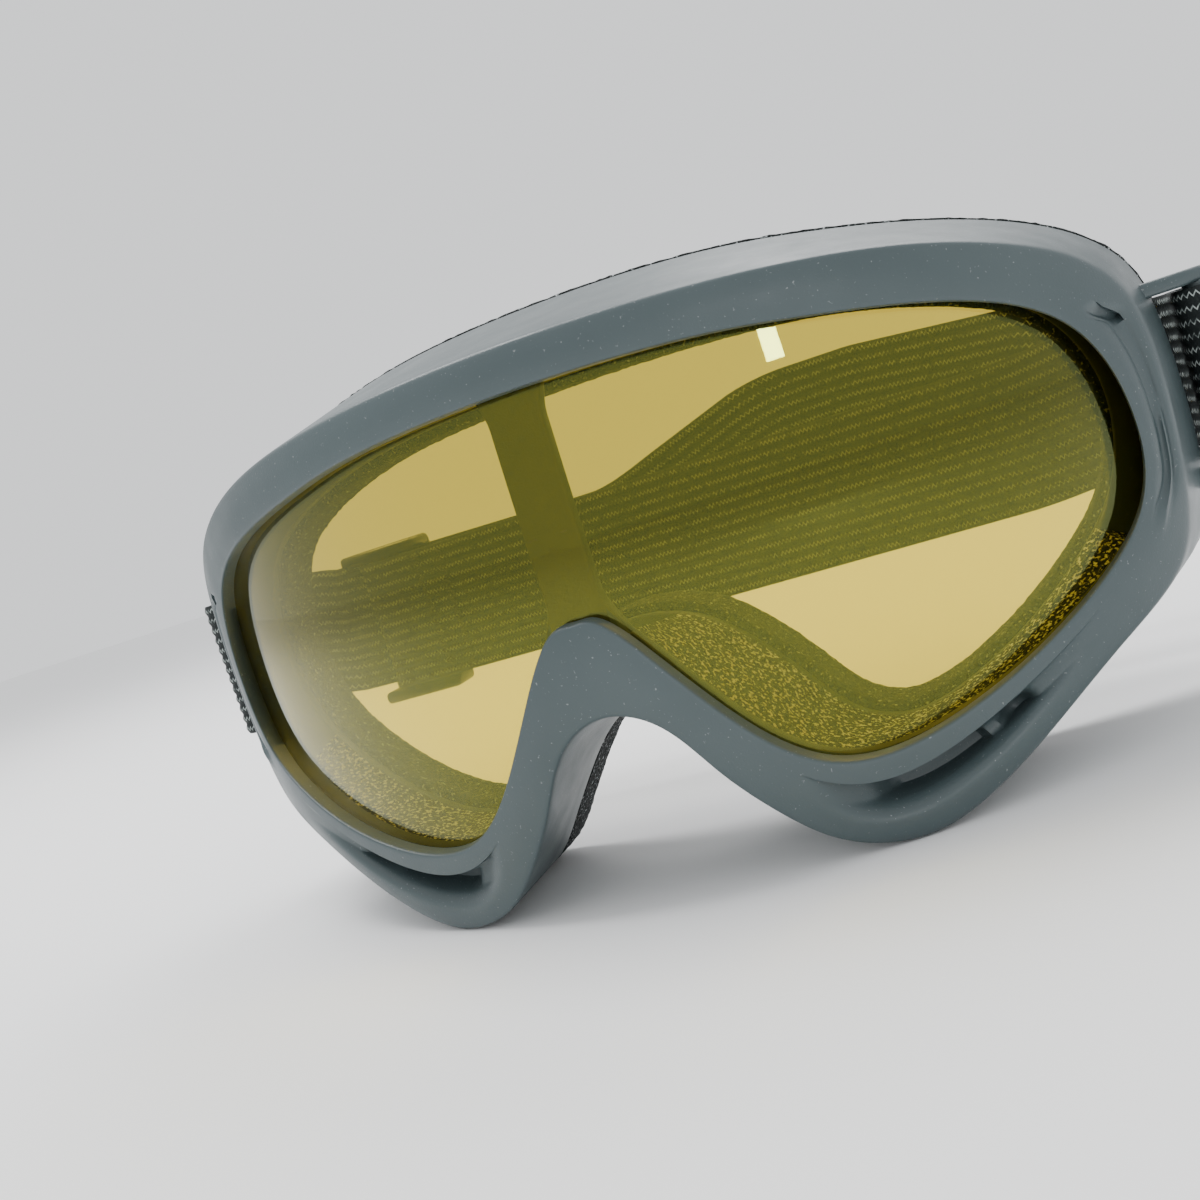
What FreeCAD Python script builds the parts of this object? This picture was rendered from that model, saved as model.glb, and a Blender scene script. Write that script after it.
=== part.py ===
import FreeCAD, Part
import math
import os

# Ski goggles: a soft moulded frame round one curved lens, a foam face seal and an elastic strap.
# Millimetres. +X is the wearer's left, which is the viewer's right, -Y is the front, +Z is up.
# Everything is drawn with y = 0 at the middle of the front lip and z = 0 near the middle of the
# lens, and the last step moves it so that the origin is the middle of the box's bottom.

Vector = FreeCAD.Vector

# Driving dimensions -----------------------------------------------------------------------------
FRAME_WIDTH = 182.0          # over the rear edge, without the side bars
FRAME_HEIGHT = 94.6          # from the cheek lobes' feet to the brow
FRAME_DEPTH = 30.0           # lip to rear edge, on the middle line
FRONT_RADIUS = 115.0         # plan radius of the front lip and of the lens
FRONT_CROWN = 400.0          # side-view radius of the same surface
FACE_RADIUS = 170.0          # plan radius of the rear edge, which follows a face
WALL = 2.2                   # frame shell
LIP = 3.0                    # lip in front of the lens
LENS = 1.6                   # lens sheet
GROOVE_BACK = 2.9            # ring behind the lens
GROOVE_DEPTH = 3.0           # how far the lens reaches into its groove
RIM_GAP = 0.3                # room round the lens's edge
FLANGE_THICKNESS = 2.2
FOAM = 12.0                  # face seal
FOAM_OVERHANG = 0.7          # the foam stands out above the brow
GLUE = 0.05                  # glue line in front of the foam
FOAM_LIP = 1.5               # the foam reaches this far inside the flange
STRUT_WIDTH = 8.8            # middle strut behind the lens
SCOOP_DEPTH = 4.6            # of the crescent in each cheek lobe
RIB_WIDTH = 2.4              # rib across each vent slot

BAR_DIAMETER = 4.4           # side bars that hold the strap
BAR_GAP = 3.6                # between the frame's side and the bar
BAR_SETBACK = 1.5            # bar's middle, behind the frame's rear edge at its side
ARM_HEIGHT = 2.4             # arms that join each bar to the frame
BAR_LEVEL = -0.5             # height of the bar's middle

STRAP_WIDTH = 28.0
STRAP = 1.6                  # thickness of the elastic
STRAP_SLACK = 0.25           # between the strap and what it goes round
ARM_CLEARANCE = 0.5          # between the strap's edge and the arms
RUN_GAP = 22.1               # inner run's middle, behind the bars' middle
RUN_LEVEL = -3.0             # height of both runs at the slider
OUTER_RUN_RISE = 12.0        # the outer run climbs this far past the slider
OUTER_RUN_BULGE = 14.0       # and stands this far back
STRETCH_GAP = 8.1            # the strap stretches from this far behind the bars' middle
STRETCH_LENGTH = 10.0        # over this length
SEWN_TAIL = 13.0             # length of each sewn strap end
TACK = 0.5                   # stitching stands this far off the strap
TACK_WIDTH = 1.6
TACK_MARGIN = 1.5            # between the stitching and the strap's edges

SLIDER_PLACE = -72.0         # middle of the slider along the strap
SLIDER_LENGTH = 19.0
SLIDER_RAIL = 2.6            # rails above and below the strap
SLIDER_BAR = 2.2             # thickness of its three bars
SLIDER_SIDE_BAR = 3.6        # width of the two outer bars
SLIDER_CENTRE_BAR = 3.4      # width of the middle bar
SLIDER_CLEARANCE = 0.4

# Outlines ---------------------------------------------------------------------------------------
# Half outlines from the middle of the brow, round the side, to the middle of the nose, drawn at
# this width and height and scaled to the sizes above.
DRAWN_WIDTH = 182.0
DRAWN_HEIGHT = 94.6

# The lip's opening, (x, z).
LIP_OUTLINE = [
    (0, 30.3), (26.8, 29.3), (44.8, 26.7), (63.3, 22.4), (77.4, 13.4), (82.1, -2.3), (78.6, -16.3),
    (65.8, -26.6), (49.8, -33.8), (31.2, -35.3), (16.8, -22.3), (5.7, -6.9), (0, -4.7)]

# The frame's outside, (x, z at the front ridge, x, z at the rear edge).
SHELL_OUTLINE = [
    (0, 37.3, 0, 44.3), (25, 36.6, 26, 43.3), (46, 34.7, 46, 40.2), (62, 31.6, 62, 36.2),
    (74, 27.2, 75, 31.2), (82, 22.0, 84, 25.2), (87, 13.5, 89.5, 16.0), (88, 0, 91, 0),
    (87, -14, 90.5, -15), (83, -25.5, 86, -26.5), (72, -33.2, 73, -34.8), (60, -41, 60, -43),
    (50, -47, 50, -48.2), (39.5, -50.3, 39.5, -50.3), (29, -47.8, 30, -48.2), (21.5, -41.5, 23.5, -41.5),
    (14.5, -32.5, 17, -33.2), (8.5, -23.6, 9.4, -25.8), (0, -19.6, 0, -23)]

# The opening in the rear flange, (x, z).
REAR_OPENING = [
    (0, 31.5), (28, 30.6), (47, 28), (62, 23.5), (73, 16.5), (78.5, 4), (77, -9), (71, -18.5),
    (61, -27), (50, -33.5), (38.5, -36.8), (29.5, -33), (23, -24.5), (14, -14.5), (6, -10.3), (0, -9.5)]

# The crescent scooped out of each cheek lobe, and the vent slot in its floor, (x, z).
SCOOP_TOP = [(23.5, -39.2), (35, -38.9), (47.3, -36.9), (58.4, -33.6), (68, -28.6)]
SCOOP_BOTTOM = [(62, -34.8), (54.4, -40.2), (44.5, -44.4), (34.8, -44.6)]
SLOT_TOP = [(32.8, -43.6), (43, -41.6), (55, -37.6)]
SLOT_BOTTOM = [(51.5, -41.6), (43, -44.4)]
RIB_PLACE = 48.5
VENT_FOAM_OUTLINE = [             # its top lies just outside the lip; the frame's walls trim the rest
    (9, -14.5), (17.5, -24.5), (24, -31.5), (31.2, -36.1), (40.5, -36.1), (49.8, -34.6), (58, -31), (65.8, -27.4), (72, -22.5),
    (76, -22.5), (76, -52), (9, -52)]

PLENTY = 150.0               # longer than anything that is cut
PAST = 5.0                   # how far a half cutter runs past the middle plane


def wide(x):
    return x * FRAME_WIDTH / DRAWN_WIDTH


def tall(z):
    return z * FRAME_HEIGHT / DRAWN_HEIGHT


def scaled(points):
    return [(wide(x), tall(z)) for x, z in points]


def half_curve(points, y):
    """A smooth curve from the middle of the brow, round the right side, to the middle of the nose."""
    curve = Part.BSplineCurve()
    curve.interpolate(Points=[Vector(x, y, z) for x, z in points],
                      InitialTangent=Vector(1, 0, 0), FinalTangent=Vector(-1, 0, 0))
    return curve


def grown(points, distance):
    """The outline through the points, moved outwards, or inwards where the distance is negative."""
    curve = half_curve(points, 0)
    count = 2 * len(points)
    moved = []
    for i in range(count + 1):
        at = curve.FirstParameter + (curve.LastParameter - curve.FirstParameter) * i / count
        place, along = curve.value(at), curve.tangent(at)[0]
        moved.append((max(0.0, place.x - along.z * distance), place.z + along.x * distance))
    return moved


def half_wire(points, y, past=0.0):
    """The right half of an outline, closed by a straight line this far past the middle plane."""
    (_, top), (_, foot) = points[0], points[-1]
    corners = [Vector(0, y, foot), Vector(-past, y, foot), Vector(-past, y, top), Vector(0, y, top)]
    if past == 0:
        corners = [corners[0], corners[-1]]
    lines = [Part.LineSegment(p, q).toShape() for p, q in zip(corners, corners[1:])]
    return Part.Wire([half_curve(points, y).toShape()] + lines)


def slab(points, front, back, past=0.0):
    """The right half of an upright outline, filled and drawn out from one depth to another."""
    return Part.Face(half_wire(points, front, past)).extrude(Vector(0, back - front, 0))


def both_halves(half):
    return half.fuse(mirrored(half)).removeSplitter()


def polygon_slab(points, front, back):
    """An outline of straight lines, filled and drawn out from one depth to another."""
    corners = [Vector(x, front, z) for x, z in points]
    return Part.Face(Part.makePolygon(corners + corners[:1])).extrude(Vector(0, back - front, 0))


def crescent_slab(top, bottom, front, back):
    """A crescent between an upper and a lower curve that share their two tips."""
    upper = Part.BSplineCurve()
    upper.interpolate(Points=[Vector(x, front, z) for x, z in top])
    lower = Part.BSplineCurve()
    lower.interpolate(Points=[Vector(x, front, z) for x, z in [top[-1]] + bottom + [top[0]]])
    wire = Part.Wire([upper.toShape(), lower.toShape()])
    return Part.Face(wire).extrude(Vector(0, back - front, 0))


def mirrored(shape):
    return shape.mirror(Vector(0, 0, 0), Vector(1, 0, 0))


def front_depth(x, gap=0.0):
    """How far behind the middle of the lip the front surface, or one behind it, lies at x."""
    radius = FRONT_RADIUS - gap
    return FRONT_RADIUS - math.sqrt(radius ** 2 - x ** 2)


def rear_depth(x, behind=0.0):
    """How far behind the middle of the lip the rear edge, or a surface behind it, lies at x."""
    return FRAME_DEPTH + behind + FACE_RADIUS - math.sqrt(FACE_RADIUS ** 2 - x ** 2)


def barrel(gap):
    """Everything behind the front surface moved back by gap: a barrel on an upright axis."""
    reach = FRAME_HEIGHT
    radius = FRONT_RADIUS - gap
    shrink = FRONT_CROWN - math.sqrt(FRONT_CROWN ** 2 - reach ** 2)
    bottom, middle, top = (Vector(radius - shrink, 0, -reach), Vector(radius, 0, 0),
                           Vector(radius - shrink, 0, reach))
    side = Part.Arc(bottom, middle, top).toShape()
    lid = Part.LineSegment(top, Vector(0, 0, reach)).toShape()
    axis = Part.LineSegment(Vector(0, 0, reach), Vector(0, 0, -reach)).toShape()
    base = Part.LineSegment(Vector(0, 0, -reach), bottom).toShape()
    profile = Part.Face(Part.Wire([side, lid, axis, base]))
    turned = profile.revolve(Vector(0, 0, 0), Vector(0, 0, 1), 360)
    return turned.translated(Vector(0, FRONT_RADIUS, 0))


def behind_face(behind=0.0):
    """Everything behind the curved rear edge moved back by this much."""
    base = Vector(0, FRAME_DEPTH + behind + FACE_RADIUS, -PLENTY)
    return Part.makeCylinder(FACE_RADIUS, 2 * PLENTY, base)


def frame_side():
    """Half the frame's width, at its rear edge."""
    return max(wide(rear_x) for _, _, rear_x, _ in SHELL_OUTLINE)


def shell_section(depth, inset=0.0):
    """The frame's outside at one depth, from the straight lines between its ridge and rear edge."""
    half = []
    for ridge_x, ridge_z, rear_x, rear_z in SHELL_OUTLINE:
        ridge_x, rear_x = wide(ridge_x), wide(rear_x)
        ridge_z, rear_z = tall(ridge_z), tall(rear_z)
        near, far = front_depth(ridge_x) + LIP, rear_depth(rear_x)
        share = (depth - near) / (far - near)
        half.append((ridge_x + (rear_x - ridge_x) * share, ridge_z + (rear_z - ridge_z) * share))
    return grown(half, -inset) if inset else half


def tapered_block(inset=0.0, past=0.0):
    """The right half of the frame's outside as one block, longer than the frame at both ends."""
    first, last = -1.0, rear_depth(frame_side()) + 3.0
    sections = [half_wire(shell_section(y, inset), y, past) for y in (first, last)]
    return Part.makeLoft(sections, True, True)


def rear_outline():
    """The frame's outside along its rear edge."""
    return [(wide(rear_x), tall(rear_z)) for _, _, rear_x, rear_z in SHELL_OUTLINE]


RING = LIP + LENS + GROOVE_BACK


def cavity():
    """The room inside the frame's walls, between the lens ring and the rear flange."""
    room = tapered_block(WALL, PAST).common(barrel(RING))
    return room.cut(behind_face(-FLANGE_THICKNESS))


def lens_ring():
    """The right half of the frame's front: lip, lens groove, the ring behind it and the strut."""
    ring = tapered_block().common(barrel(0)).cut(barrel(RING)).cut(behind_face())
    lens_room = slab(grown(scaled(LIP_OUTLINE), GROOVE_DEPTH + RIM_GAP), -5, FRAME_DEPTH + 30, PAST)
    groove = lens_room.common(barrel(LIP)).cut(barrel(LIP + LENS))
    ring = ring.cut(groove).cut(slab(scaled(LIP_OUTLINE), -5, FRAME_DEPTH + 30, PAST))
    top, foot, half = tall(33.5), tall(-12), STRUT_WIDTH / 2
    strut = polygon_slab([(0, foot), (half, foot), (half, top), (0, top)], 0, FRAME_DEPTH)
    return ring.fuse(strut.common(barrel(LIP + LENS)).cut(barrel(RING)))


def walls():
    """The right half of the frame's side walls and of the flange along its rear edge."""
    shell = tapered_block().common(barrel(RING)).cut(behind_face())
    rear_window = slab(scaled(REAR_OPENING), 0, FRAME_DEPTH + 50, PAST)
    return shell.cut(cavity()).cut(rear_window)


def scoop():
    """The crescent in the right-hand cheek lobe."""
    shape = crescent_slab(scaled(SCOOP_TOP), scaled(SCOOP_BOTTOM), -5, FRAME_DEPTH)
    return shape.cut(barrel(SCOOP_DEPTH))


def vent_slot():
    """The slot through the scoop's floor, with the rib across it left standing."""
    slot = crescent_slab(scaled(SLOT_TOP), scaled(SLOT_BOTTOM), -5, FRAME_DEPTH)
    rib = Part.makeBox(RIB_WIDTH, PLENTY, PLENTY, Vector(wide(RIB_PLACE), -5, -PLENTY))
    return slot.cut(barrel(RING + 0.5)).cut(rib)


def side_bar_x():
    return frame_side() + BAR_GAP + BAR_DIAMETER / 2


def side_bar_y():
    return rear_depth(frame_side()) + BAR_SETBACK


SLOT_HEIGHT = STRAP_WIDTH + 2 * ARM_CLEARANCE


def side_bar():
    """The right-hand bar and the two arms that join it to the frame's side."""
    x, y = side_bar_x(), side_bar_y()
    radius = BAR_DIAMETER / 2
    height = SLOT_HEIGHT + 2 * ARM_HEIGHT
    foot = BAR_LEVEL - height / 2
    root_x = frame_side() - 7.0
    pieces = [Part.makeCylinder(radius, height, Vector(x, y, foot))]
    for low in (foot, BAR_LEVEL + SLOT_HEIGHT / 2):
        front, back = y - 9.0, y - 1.0
        plan = [Vector(root_x, front, low), Vector(x - radius, front + 4.0, low),
                Vector(x + radius * 0.7, y - radius * 0.7, low), Vector(x, y + radius, low),
                Vector(root_x, back, low)]
        pieces.append(Part.Face(Part.makePolygon(plan + plan[:1])).extrude(Vector(0, 0, ARM_HEIGHT)))
    return pieces[0].multiFuse(pieces[1:])


def foam_block(front):
    """Everything that the face seal could fill, from front behind the frame's rear edge."""
    outline = [(x, z + FOAM_OVERHANG if z > 0 else z) for x, z in rear_outline()]
    return slab(outline, 0, PLENTY).common(behind_face(front))


def frame():
    ring = lens_ring().cut(scoop()).cut(vent_slot())
    bar = side_bar().cut(tapered_block(WALL / 2)).cut(foam_block(0.0))
    return both_halves(ring.multiFuse([walls(), bar]))


def lens():
    sheet = slab(grown(scaled(LIP_OUTLINE), GROOVE_DEPTH), -5, FRAME_DEPTH + 30)
    return both_halves(sheet.common(barrel(LIP)).cut(barrel(LIP + LENS)))


def face_foam():
    inner = slab(grown(scaled(REAR_OPENING), -FOAM_LIP), 0, PLENTY, PAST)
    return both_halves(foam_block(GLUE).cut(inner).cut(behind_face(FOAM)))


def vent_foam():
    """The foam that fills the right-hand lobe behind its vent slot, from the ring to the flange."""
    block = polygon_slab(scaled(VENT_FOAM_OUTLINE), -5, FRAME_DEPTH + 30)
    return block.common(barrel(RING)).cut(behind_face(-FLANGE_THICKNESS)).common(cavity())


# Strap ------------------------------------------------------------------------------------------
def rounded_runs(points, radii):
    """Straight runs joined by tangent arcs: ("line", p, q) and ("arc", centre, radius, a, b)."""
    runs, last = [], Vector(*points[0], 0)
    for i in range(1, len(points) - 1):
        before, corner, after = (Vector(*points[j], 0) for j in (i - 1, i, i + 1))
        way_in, way_out = (corner - before).normalize(), (after - corner).normalize()
        turn = math.atan2(way_in.x * way_out.y - way_in.y * way_out.x, way_in.dot(way_out))
        trim = radii[i - 1] * math.tan(abs(turn) / 2)
        first, second = corner - way_in * trim, corner + way_out * trim
        side = 1 if turn > 0 else -1
        centre = first + Vector(-way_in.y, way_in.x, 0) * (side * radii[i - 1])
        start = math.atan2(first.y - centre.y, first.x - centre.x)
        runs.append(("line", last, first))
        runs.append(("arc", centre, radii[i - 1], start, start + turn))
        last = second
    runs.append(("line", last, Vector(*points[-1], 0)))
    return runs


def side_edges(runs, offset):
    """The edges of one side of a ribbon along the runs, offset to their left."""
    edges = []
    for run in runs:
        if run[0] == "line":
            along = (run[2] - run[1]).normalize()
            shift = Vector(-along.y, along.x, 0) * offset
            edges.append(Part.LineSegment(run[1] + shift, run[2] + shift))
        else:
            _, centre, radius, start, end = run
            reach = radius - offset if end > start else radius + offset
            places = [centre + Vector(math.cos(a), math.sin(a), 0) * reach
                      for a in (start, (start + end) / 2, end)]
            edges.append(Part.Arc(*places))
    return [edge.toShape() for edge in edges]


def ribbon_face(points, radii, width):
    """A flat ribbon of this width along the rounded path, in the XY plane."""
    runs = rounded_runs(points, radii)
    left, right = side_edges(runs, width / 2), side_edges(runs, -width / 2)
    ends = []
    for at in (0, -1):
        pair = [left[at].Vertexes[at].Point, right[at].Vertexes[at].Point]
        ends.append(Part.LineSegment(*pair).toShape())
    edges = Part.__sortEdges__(left + right + ends)
    return Part.Face(Part.Wire(edges))


def upright_ribbon(points, radii, thickness, low, high):
    """A ribbon standing on edge along a plan path."""
    return ribbon_face(points, radii, thickness).translated(Vector(0, 0, low)).extrude(
        Vector(0, 0, high - low))


def depth_range(shape, front, back):
    """The part of the shape between two depths."""
    box = Part.makeBox(2 * PLENTY, back - front, 2 * PLENTY, Vector(-PLENTY, front, -PLENTY))
    return shape.common(box)


BAR_X, BAR_Y = side_bar_x(), side_bar_y()
STRETCH_START = BAR_Y + STRETCH_GAP
STRETCH_END = STRETCH_START + STRETCH_LENGTH
RUN_DEPTH = BAR_Y + RUN_GAP
TURN = BAR_DIAMETER / 2 + STRAP_SLACK + STRAP / 2      # radius of the strap's middle round a bar
STRAP_LOW, STRAP_HIGH = BAR_LEVEL - STRAP_WIDTH / 2, BAR_LEVEL + STRAP_WIDTH / 2
LEG_IN, LEG_OUT = BAR_X - TURN, BAR_X + TURN           # the strap's two legs at a bar
CENTRE_BAR_Y = RUN_DEPTH + STRAP / 2 + SLIDER_CLEARANCE / 2 + SLIDER_BAR / 2
OUTER_RUN_Y = CENTRE_BAR_Y + SLIDER_BAR / 2 + SLIDER_CLEARANCE + STRAP * 1.5 + SLIDER_CLEARANCE / 2
CORNER = 12.0                                          # the strap's bends behind the frame
BAND_CORNER = 60.0                                     # the gentle bends of its rise


def outer_strap():
    """The strap from the left-hand bar's outside, behind the wearer, to the right-hand bar."""
    back = OUTER_RUN_Y + OUTER_RUN_BULGE
    plan = [(-LEG_OUT, BAR_Y), (-LEG_OUT, OUTER_RUN_Y), (-14, OUTER_RUN_Y), (24, back),
            (LEG_OUT - 26, back), (LEG_OUT, back - 20), (LEG_OUT, BAR_Y)]
    radii = [CORNER, BAND_CORNER, BAND_CORNER, 2 * CORNER, 2 * CORNER]
    tape = upright_ribbon(plan, radii, STRAP, -PLENTY / 2, PLENTY / 2)
    top = RUN_LEVEL + OUTER_RUN_RISE
    level = [(-LEG_OUT - 10, BAR_LEVEL), (-LEG_OUT + 4, BAR_LEVEL), (-LEG_OUT + 16, RUN_LEVEL),
             (-18, RUN_LEVEL), (20, top), (LEG_OUT - 44, top), (LEG_OUT - 8, BAR_LEVEL),
             (LEG_OUT + 10, BAR_LEVEL)]
    bend = STRAP_WIDTH * 0.7
    band = ribbon_face(level, [1.5 * bend, 1.5 * bend, 2 * bend, 2 * bend, 2 * bend, bend], STRAP_WIDTH)
    band = band.rotated(Vector(0, 0, 0), Vector(1, 0, 0), 90).extrude(Vector(0, PLENTY, 0))
    return tape.common(band)


def inner_strap():
    """The strap from the right-hand bar's inside to its end at the slider."""
    plan = [(LEG_IN, BAR_Y), (LEG_IN, RUN_DEPTH), (end_loop_right(), RUN_DEPTH)]
    tape = upright_ribbon(plan, [CORNER], STRAP, -PLENTY / 2, PLENTY / 2)
    level = [(end_loop_right() - 5, RUN_LEVEL), (LEG_IN - 40, RUN_LEVEL), (LEG_IN - 8, BAR_LEVEL),
             (LEG_IN + 5, BAR_LEVEL)]
    band = ribbon_face(level, [60, 2 * CORNER + 6], STRAP_WIDTH)
    band = band.rotated(Vector(0, 0, 0), Vector(1, 0, 0), 90).extrude(Vector(0, PLENTY, 0))
    return tape.common(band)


def bar_turn(side):
    """Half a turn of strap round the front of one side bar, with legs back to STRETCH_START."""
    x = side * BAR_X
    ring = Part.makeCylinder(TURN + STRAP / 2, STRAP_WIDTH, Vector(x, BAR_Y, STRAP_LOW))
    ring = ring.cut(Part.makeCylinder(TURN - STRAP / 2, STRAP_WIDTH, Vector(x, BAR_Y, STRAP_LOW)))
    return depth_range(ring, 0, BAR_Y)


def strap_right_turn():
    """The strap's turn round the right-hand bar, with both of its legs."""
    legs = [depth_range(shape, BAR_Y, STRETCH_START) for shape in (outer_strap(), inner_strap())]
    legs = [leg.common(Part.makeBox(PLENTY, PLENTY, 2 * PLENTY, Vector(0, 0, -PLENTY))) for leg in legs]
    return bar_turn(1).multiFuse(legs).removeSplitter()


def strap_left_loop():
    """The strap's sewn end: round the left-hand bar, with its tail sewn to the leg."""
    leg = depth_range(outer_strap(), BAR_Y, STRETCH_START)
    leg = leg.common(Part.makeBox(PLENTY, PLENTY, 2 * PLENTY, Vector(-PLENTY, 0, -PLENTY)))
    sewn_x = -LEG_OUT + STRAP
    tail = upright_ribbon([(-LEG_IN, BAR_Y), (-LEG_IN, BAR_Y + 2), (sewn_x, BAR_Y + 6),
                           (sewn_x, STRETCH_START)], [1.0, 3.0], STRAP, STRAP_LOW, STRAP_HIGH)
    return bar_turn(-1).multiFuse([leg, tail])


def end_loop_right():
    return SLIDER_PLACE + SLIDER_CENTRE_BAR / 2 + SLIDER_SIDE_BAR + SEWN_TAIL


def strap_end_loop():
    """The strap's other sewn end, round the slider's middle bar."""
    loop_right = end_loop_right()
    half_bar = SLIDER_CENTRE_BAR / 2 + SLIDER_CLEARANCE
    half_inner = SLIDER_BAR / 2 + SLIDER_CLEARANCE / 2
    front, back = CENTRE_BAR_Y - half_inner - STRAP, CENTRE_BAR_Y + half_inner + STRAP
    left = SLIDER_PLACE - half_bar
    low = RUN_LEVEL - STRAP_WIDTH / 2
    outer = Part.makeBox(half_bar + loop_right - SLIDER_PLACE, back - front, STRAP_WIDTH,
                         Vector(left, front, low))
    rounding = (back - front) / 2
    nose = Part.makeCylinder(rounding, STRAP_WIDTH, Vector(left, CENTRE_BAR_Y, low))
    inner = Part.makeBox(half_bar * 2, back - front - 2 * STRAP, STRAP_WIDTH,
                         Vector(left, front + STRAP, low))
    inner_nose = Part.makeCylinder(rounding - STRAP, STRAP_WIDTH, Vector(left, CENTRE_BAR_Y, low))
    sewn_start = SLIDER_PLACE + half_bar + 2.0
    waste = Part.makeBox(loop_right - sewn_start + 1, back - front - 2 * STRAP, STRAP_WIDTH,
                         Vector(sewn_start, front + 2 * STRAP, low))
    thin = Part.makeBox(sewn_start - left, back - front - 2 * STRAP, STRAP_WIDTH,
                        Vector(left, front + STRAP, low))
    return outer.fuse(nose).cut([inner, inner_nose, waste, thin]).removeSplitter()


def slider():
    """A moulded ladder: two rails, two outer bars behind the strap and one bar inside its loop."""
    front = CENTRE_BAR_Y - SLIDER_BAR / 2
    back = OUTER_RUN_Y + STRAP / 2 + SLIDER_CLEARANCE + SLIDER_BAR
    opening = STRAP_WIDTH + 2 * SLIDER_CLEARANCE
    low = RUN_LEVEL - opening / 2
    half = SLIDER_LENGTH / 2
    rails = []
    for z in (low - SLIDER_RAIL, low + opening):
        rail = Part.makeBox(SLIDER_LENGTH, back - front, SLIDER_RAIL, Vector(SLIDER_PLACE - half, front, z))
        rails.append(rail.makeFillet(1.0, [edge for edge in rail.Edges if edge.Length < SLIDER_RAIL + 0.1]))
    height = opening + 2 * SLIDER_RAIL
    bars = [Part.makeBox(SLIDER_CENTRE_BAR, SLIDER_BAR, opening + 0.2,
                         Vector(SLIDER_PLACE - SLIDER_CENTRE_BAR / 2, front, low - 0.1))]
    for x in (SLIDER_PLACE - half, SLIDER_PLACE + half - SLIDER_SIDE_BAR):
        bars.append(Part.makeBox(SLIDER_SIDE_BAR, SLIDER_BAR, height - 2.0,
                                 Vector(x, back - SLIDER_BAR, low - SLIDER_RAIL + 1.0)))
    return rails[0].multiFuse(rails[1:] + bars).removeSplitter()


def bar_tack(x, y, way):
    """Two rows of stitching across the strap at (x, y), standing off a face that looks along way."""
    rows = []
    height = STRAP_WIDTH - 2 * TACK_MARGIN
    for step in (-1, 1):
        if way[0]:
            corner = Vector(x + min(0, way[0] * TACK), y + step * 2 * TACK_WIDTH - TACK_WIDTH / 2,
                            BAR_LEVEL - height / 2)
            rows.append(Part.makeBox(TACK, TACK_WIDTH, height, corner))
        else:
            corner = Vector(x + step * 2 * TACK_WIDTH - TACK_WIDTH / 2, y + min(0, way[1] * TACK),
                            RUN_LEVEL - height / 2)
            rows.append(Part.makeBox(TACK_WIDTH, TACK, height, corner))
    return Part.makeCompound(rows)


def build():
    outer, inner = outer_strap(), inner_strap()
    right_half = Part.makeBox(PLENTY, PLENTY, 2 * PLENTY, Vector(0, 0, -PLENTY))
    left_half = Part.makeBox(PLENTY, PLENTY, 2 * PLENTY, Vector(-PLENTY, 0, -PLENTY))
    stretch = (STRETCH_START, STRETCH_END)
    vent = vent_foam()
    tack_x = -LEG_OUT - STRAP / 2
    tack_y = STRETCH_START - 2 * TACK_WIDTH - TACK_WIDTH / 2
    slider_tack_x = end_loop_right() - SEWN_TAIL / 2 + 1.0
    return {
        "frame": frame(),
        "lens": lens(),
        "face_foam": face_foam(),
        "vent_foam_right": vent,
        "vent_foam_left": mirrored(vent),
        "strap_left_loop": strap_left_loop(),
        "strap_side_left": depth_range(outer, *stretch).common(left_half),
        "strap_side_right_outer": depth_range(outer, *stretch).common(right_half),
        "strap_side_right_inner": depth_range(inner, *stretch),
        "strap_right_turn": strap_right_turn(),
        "strap_outer_run": depth_range(outer, STRETCH_END, PLENTY),
        "strap_inner_run": depth_range(inner, STRETCH_END, PLENTY),
        "strap_end_loop": strap_end_loop(),
        "slider": slider(),
        "left_bar_tack": bar_tack(tack_x, tack_y, (-1, 0)),
        "slider_bar_tack": bar_tack(slider_tack_x, RUN_DEPTH - STRAP / 2, (0, -1)),
    }


def main():
    os.makedirs("parts", exist_ok=True)
    shapes = build()
    box = FreeCAD.BoundBox()
    for shape in shapes.values():
        box.add(shape.optimalBoundingBox())
    home = Vector(-(box.XMin + box.XMax) / 2, -(box.YMin + box.YMax) / 2, -box.ZMin)
    for name, shape in shapes.items():
        placed = shape.translated(home)
        placed.exportStep("parts/" + name + ".step")
        print(name, "solids", len(placed.Solids), "valid", placed.isValid(), "cm3", round(placed.Volume / 1000, 3))
    print("moved by", home, "box", box)


main()
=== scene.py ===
import functools
import math
from types import SimpleNamespace

import bmesh
import bpy
import numpy as np
from mathutils import Matrix, Vector, noise


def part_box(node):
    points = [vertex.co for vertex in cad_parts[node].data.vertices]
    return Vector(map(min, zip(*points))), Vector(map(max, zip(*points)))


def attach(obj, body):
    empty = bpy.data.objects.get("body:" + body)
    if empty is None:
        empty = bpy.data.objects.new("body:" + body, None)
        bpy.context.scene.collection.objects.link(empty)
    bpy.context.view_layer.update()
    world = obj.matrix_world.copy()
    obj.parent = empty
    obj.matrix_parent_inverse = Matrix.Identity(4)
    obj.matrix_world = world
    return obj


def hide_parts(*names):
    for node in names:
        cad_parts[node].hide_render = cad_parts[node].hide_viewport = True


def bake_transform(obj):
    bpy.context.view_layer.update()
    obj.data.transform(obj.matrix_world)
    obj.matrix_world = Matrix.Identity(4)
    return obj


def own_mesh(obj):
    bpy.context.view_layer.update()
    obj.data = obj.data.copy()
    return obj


bl_info = {
    "name": "Ski goggles",
    "version": (1, 0, 0),
    "blender": (4, 5, 0),
    "location": "View3D > Sidebar > Goggles",
    "description": "Builds the finished pieces of a pair of ski goggles round their packed frame",
    "category": "Add Mesh",
}

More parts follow.
